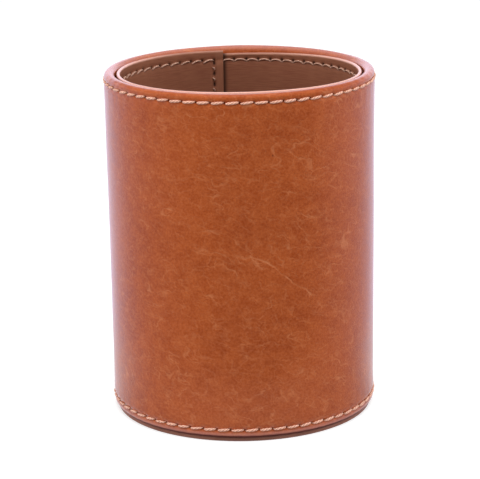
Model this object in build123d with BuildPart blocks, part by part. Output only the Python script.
from build123d import *
import os
from math import asin, cos, degrees, pi, radians, sin, tan

# A pencil cup: a tube of board, covered outside in leather and lined inside, stitched
# through all its layers round the mouth, round the foot and down the lapped back seam.
# It stands on a plain leather disc. Millimetres, +Z up, the origin in the middle of the
# face it rests on, and the free edge of the inner lap at +Y.

# Overall size
total_height = 101.6
outer_diameter = 79.0

# The layers of the wall, from the outside in, with a film of glue between them
cover_thickness = 1.2
core_thickness = 2.3
lining_thickness = 1.0
glue_line = 0.1

# The cover is rolled over both ends of the core, and its turned in edges are pared thin.
# The lining stops a little short of the rolls, and leaves a crevice behind its edge.
roll_facets = 4
turn_in_thickness = 0.8
turn_in_depth = 10.0
crevice = 0.5
lining_drop = 0.9

# The foot disc, the board that closes the tube and the lining of the floor
foot_disc_thickness = 1.2
foot_disc_inset = 1.4
foot_disc_bevel = 0.25
base_board_thickness = 3.0
floor_lining_thickness = 0.8
slip_clearance = 0.15

# The stitching: a row round the mouth, a row round the foot and one down the back, each with
# stitches outside and inside. They lie in channels that the thread draws into the leather,
# except for the inside of the foot row, which lies flat between the lining and the base board.
# The needle slants through the mouth, so that row comes out lower inside than outside.
stitch_pitch = 4.14
mouth_seam_drop = 2.3
inner_mouth_seam_drop = 3.7
foot_seam_rise = 2.5
stitch_gap = 0.62
stitch_climb = 0.4
stitch_side_angle = 25.0
outer_thread_width = 0.75
outer_thread_height = 0.6
inner_thread_width = 0.6
inner_thread_height = 0.45
thread_clearance = 0.1
channel_depth = 0.3
channel_side_angle = 30.0

# The back seam: each end of the panel is pared to a taper and lies over the other one
back_angle = 90.0
lap_margin = 2.8
lap_taper = 12.0
cover_lap_step = 0.5
lining_lap_step = 0.7
back_stitch_pitch = 3.3
back_seam_gap = 1.0

# Radii of the layers
outer_radius = outer_diameter / 2
core_outer_radius = outer_radius - cover_thickness - glue_line
core_inner_radius = core_outer_radius - core_thickness
lining_outer_radius = core_inner_radius - glue_line
lining_inner_radius = lining_outer_radius - lining_thickness
turn_in_inner_radius = lining_outer_radius + crevice
turn_in_outer_radius = turn_in_inner_radius + turn_in_thickness
roll_radius = (outer_radius - turn_in_inner_radius) / 2
roll_middle_radius = outer_radius - roll_radius
core_lip_radius = turn_in_outer_radius + glue_line
foot_disc_radius = outer_radius - foot_disc_inset

# Heights
wall_foot = foot_disc_thickness
core_top = total_height - cover_thickness - glue_line
core_foot = wall_foot + cover_thickness + glue_line
lining_top = total_height - lining_drop
lining_foot = wall_foot + lining_drop
floor_lining_foot = wall_foot + base_board_thickness + glue_line
floor_height = floor_lining_foot + floor_lining_thickness
mouth_seam = total_height - mouth_seam_drop
inner_mouth_seam = total_height - inner_mouth_seam_drop
foot_seam = wall_foot + foot_seam_rise

# The floors of the channels, and the seats of the stitches just above them
outer_channel_radius = outer_radius - channel_depth
inner_channel_radius = lining_inner_radius + channel_depth
outer_seat_radius = outer_channel_radius + thread_clearance
mouth_inner_seat_radius = inner_channel_radius - thread_clearance
foot_inner_seat_radius = lining_inner_radius - thread_clearance
outer_channel_width = outer_thread_width + stitch_climb + 2 * thread_clearance
inner_channel_width = inner_thread_width + 2 * thread_clearance
outer_channel_reach = outer_channel_width / 2 + channel_depth * tan(radians(channel_side_angle))
cut_height = channel_depth + cover_lap_step + lining_lap_step
stitches_round = round(2 * pi * outer_radius / stitch_pitch)
first_stitch_angle = 180 / stitches_round
outer_stitch_length = 2 * pi * outer_radius / stitches_round - stitch_gap
inner_stitch_length = 2 * pi * lining_inner_radius / stitches_round - stitch_gap
stitch_slant = degrees(asin(stitch_climb / outer_stitch_length))
base_board_radius = foot_inner_seat_radius - inner_thread_height - slip_clearance

# The back seam runs up both laps, at the same distance from each free edge
seam_on_lap = 1 - lap_margin / lap_taper
back_seam_angle = back_angle + degrees(lap_margin / lining_inner_radius)
cover_lap_angle = back_seam_angle + degrees(lap_margin / outer_radius)
cover_taper_angle = cover_lap_angle - degrees(lap_taper / outer_radius)
lining_taper_angle = back_angle + degrees(lap_taper / lining_inner_radius)
back_outer_channel_radius = outer_channel_radius + cover_lap_step * seam_on_lap
back_inner_channel_radius = inner_channel_radius - lining_lap_step * seam_on_lap
back_outer_seat_radius = back_outer_channel_radius + thread_clearance
back_inner_seat_radius = back_inner_channel_radius - thread_clearance
back_seam_foot = max(foot_seam + back_seam_gap, floor_height + thread_clearance)
back_seam_length = inner_mouth_seam - back_seam_gap - back_seam_foot
back_stitches = round(back_seam_length / back_stitch_pitch)
back_stitch_spacing = back_seam_length / back_stitches
back_stitch_length = back_stitch_spacing - stitch_gap
first_back_stitch = back_seam_foot + back_stitch_spacing / 2


def on_circle(radius, angle):
    """A point at this radius and angle round the cup's axis."""
    return (radius * cos(radians(angle)), radius * sin(radians(angle)))


def facing(radius, angle, height, side, slant=0.0, upright=False):
    """A plane that touches the wall at a point and faces out (side 1) or in (side -1).

    Its X runs along the seam: round the cup, climbing by the slant, or straight up."""
    out = on_circle(1, angle)
    along = (-out[1] * cos(radians(slant)), out[0] * cos(radians(slant)), sin(radians(slant)))
    return Plane(
        origin=(radius * out[0], radius * out[1], height),
        x_dir=(0, 0, 1) if upright else along,
        z_dir=(side * out[0], side * out[1], 0),
    )


def roll_points(middle_height, side):
    """Points round the half circle of a roll, from outside to inside, over (side 1) or under (-1)."""
    turns = [pi * step / roll_facets for step in range(roll_facets + 1)]
    return [
        (roll_middle_radius + roll_radius * cos(turn), middle_height + side * roll_radius * sin(turn))
        for turn in turns
    ]


def inner_channel_section(height):
    """The section of a channel in the lining, which is cut from inside the cup, through the lap."""
    half_floor = inner_channel_width / 2
    half_mouth = half_floor + cut_height * tan(radians(channel_side_angle))
    Polygon(
        (inner_channel_radius, height - half_floor),
        (inner_channel_radius - cut_height, height - half_mouth),
        (inner_channel_radius - cut_height, height + half_mouth),
        (inner_channel_radius, height + half_floor),
        align=None,
    )


def channel_points(height):
    """The outline of a channel in the cover, from below it to above it."""
    half_floor = outer_channel_width / 2
    return [
        (outer_radius, height - outer_channel_reach),
        (outer_channel_radius, height - half_floor),
        (outer_channel_radius, height + half_floor),
        (outer_radius, height + outer_channel_reach),
    ]


def back_channel(floor_radius, side, floor_width, top):
    """Cuts the straight channel of the back seam, with the same section, up one face of the wall."""
    with BuildPart() as channel:
        with BuildSketch(facing(floor_radius, back_seam_angle, foot_seam, side, upright=True)):
            Rectangle(top - foot_seam, floor_width, align=(Align.MIN, Align.CENTER))
        extrude(amount=cut_height, taper=-channel_side_angle)
    add(channel.part, mode=Mode.SUBTRACT)


def lap_section(surface_radius, step, edge_angle, taper_angle, bite):
    """The section of a pared end: a wedge that rises from the surface to its free edge."""
    middle_angle = (edge_angle + taper_angle) / 2
    with BuildLine() as outline:
        ThreePointArc(
            on_circle(surface_radius, taper_angle),
            on_circle(surface_radius + step / 2, middle_angle),
            on_circle(surface_radius + step, edge_angle),
        )
        Line(on_circle(surface_radius + step, edge_angle), on_circle(surface_radius - bite, edge_angle))
        ThreePointArc(
            on_circle(surface_radius - bite, edge_angle),
            on_circle(surface_radius - bite, middle_angle),
            on_circle(surface_radius - bite, taper_angle),
        )
        Line(on_circle(surface_radius - bite, taper_angle), on_circle(surface_radius, taper_angle))
    make_face(outline.edges())


def stitch(length, width, thickness):
    """One stitch, along X on the XY plane: its sides and ends lean in from its seat to its crest."""
    with BuildPart() as one:
        with BuildSketch(Plane.XY):
            Rectangle(length, width)
        extrude(amount=thickness, taper=stitch_side_angle)
    return one.part


# The cover: one leather wrap, rolled over the mouth and under the foot
with BuildPart() as outer_cover:
    with BuildSketch(Plane.XZ):
        Polygon(
            *channel_points(foot_seam),
            *channel_points(mouth_seam),
            *roll_points(total_height - roll_radius, 1),
            (turn_in_inner_radius, total_height - turn_in_depth),
            (turn_in_outer_radius, total_height - turn_in_depth),
            (turn_in_outer_radius, total_height - cover_thickness),
            (core_outer_radius + glue_line, total_height - cover_thickness),
            (core_outer_radius + glue_line, wall_foot + cover_thickness),
            (turn_in_outer_radius, wall_foot + cover_thickness),
            (turn_in_outer_radius, wall_foot + turn_in_depth),
            (turn_in_inner_radius, wall_foot + turn_in_depth),
            *reversed(roll_points(wall_foot + roll_radius, -1)),
            align=None,
        )
    revolve(axis=Axis.Z)
    with BuildSketch(Plane.XY.offset(foot_seam + outer_channel_reach)):
        lap_section(outer_radius, cover_lap_step, cover_lap_angle, cover_taper_angle, cover_thickness / 2)
    extrude(amount=mouth_seam - foot_seam - 2 * outer_channel_reach)
    back_channel(back_outer_channel_radius, 1, outer_channel_width, mouth_seam)
outer_cover.part.label = "outer_cover"

# The core: a rolled board tube, thinned at both ends to make room for the turned in leather
with BuildPart() as core_tube:
    with BuildSketch(Plane.XZ):
        Polygon(
            (core_outer_radius, core_foot),
            (core_outer_radius, core_top),
            (core_lip_radius, core_top),
            (core_lip_radius, total_height - turn_in_depth - glue_line),
            (core_inner_radius, total_height - turn_in_depth - glue_line),
            (core_inner_radius, wall_foot + turn_in_depth + glue_line),
            (core_lip_radius, wall_foot + turn_in_depth + glue_line),
            (core_lip_radius, core_foot),
            align=None,
        )
    revolve(axis=Axis.Z)
core_tube.part.label = "core_tube"

# The lining: a leather sleeve, with its lapped end standing proud inside the cup
with BuildPart() as lining:
    with BuildSketch(Plane.XZ):
        Polygon(
            (lining_inner_radius, lining_foot),
            (lining_outer_radius, lining_foot),
            (lining_outer_radius, lining_top),
            (lining_inner_radius, lining_top),
            align=None,
        )
    revolve(axis=Axis.Z)
    with BuildSketch(Plane.XY.offset(floor_height + glue_line)):
        lap_section(
            lining_inner_radius, -lining_lap_step, back_angle, lining_taper_angle, -lining_thickness / 2
        )
    extrude(amount=lining_top - floor_height - glue_line)
    with BuildSketch(Plane.XZ):
        inner_channel_section(inner_mouth_seam)
    revolve(axis=Axis.Z, mode=Mode.SUBTRACT)
    back_channel(back_inner_channel_radius, -1, inner_channel_width, inner_mouth_seam)
lining.part.label = "lining"

# The base board: closes the tube from below, inside the foot row of stitches
with BuildPart() as base_board:
    with BuildSketch(Plane.XY.offset(wall_foot)):
        Circle(base_board_radius)
    extrude(amount=base_board_thickness)
base_board.part.label = "base_board"

# The floor lining: hides the base board and the gap round it
with BuildPart() as floor_lining:
    with BuildSketch(Plane.XY.offset(floor_lining_foot)):
        Circle(lining_inner_radius - slip_clearance)
    extrude(amount=floor_lining_thickness)
floor_lining.part.label = "floor_lining"

# The foot disc: a plain leather disc under the rolled foot of the wall
with BuildPart() as foot_disc:
    with BuildSketch(Plane.XY):
        Circle(foot_disc_radius)
    extrude(amount=foot_disc_thickness)
    chamfer(foot_disc.edges().group_by(Axis.Z)[0], length=foot_disc_bevel)
foot_disc.part.label = "foot_disc"

# The seams round the mouth and round the foot. Outside, each stitch climbs from left to right,
# because the thread comes up low in one hole and goes down high in the next.
outer_ring_stitch = stitch(outer_stitch_length, outer_thread_width, outer_thread_height)
inner_ring_stitch = stitch(inner_stitch_length, inner_thread_width, inner_thread_height)
ring_seams = []
for name, height, inner_height, inner_seat in (
    ("mouth", mouth_seam, inner_mouth_seam, mouth_inner_seat_radius),
    ("foot", foot_seam, foot_seam, foot_inner_seat_radius),
):
    with BuildPart() as outer_thread:
        with PolarLocations(0, stitches_round, first_stitch_angle):
            with Locations(facing(outer_seat_radius, 0, height, 1, stitch_slant)):
                add(outer_ring_stitch)
    outer_thread.part.label = name + "_seam_outer_thread"
    with BuildPart() as inner_thread:
        with PolarLocations(0, stitches_round, first_stitch_angle):
            with Locations(facing(inner_seat, 0, inner_height, -1)):
                add(inner_ring_stitch)
    inner_thread.part.label = name + "_seam_inner_thread"
    ring_seams += [outer_thread.part, inner_thread.part]

# The seam down the back, through both laps
back_heights = [first_back_stitch + step * back_stitch_spacing for step in range(back_stitches)]
with BuildPart() as back_seam_outer_thread:
    for height in back_heights:
        with Locations(facing(back_outer_seat_radius, back_seam_angle, height, 1, upright=True)):
            add(stitch(back_stitch_length, outer_thread_width, outer_thread_height))
back_seam_outer_thread.part.label = "back_seam_outer_thread"
with BuildPart() as back_seam_inner_thread:
    for height in back_heights:
        with Locations(facing(back_inner_seat_radius, back_seam_angle, height, -1, upright=True)):
            add(stitch(back_stitch_length, inner_thread_width, inner_thread_height))
back_seam_inner_thread.part.label = "back_seam_inner_thread"

# Each piece goes to its own file
os.makedirs("parts", exist_ok=True)
export_step(outer_cover.part, "parts/outer_cover.step")
export_step(core_tube.part, "parts/core_tube.step")
export_step(lining.part, "parts/lining.step")
export_step(base_board.part, "parts/base_board.step")
export_step(floor_lining.part, "parts/floor_lining.step")
export_step(foot_disc.part, "parts/foot_disc.step")
for thread in ring_seams:
    export_step(thread, "parts/" + thread.label + ".step")
export_step(back_seam_outer_thread.part, "parts/back_seam_outer_thread.step")
export_step(back_seam_inner_thread.part, "parts/back_seam_inner_thread.step")
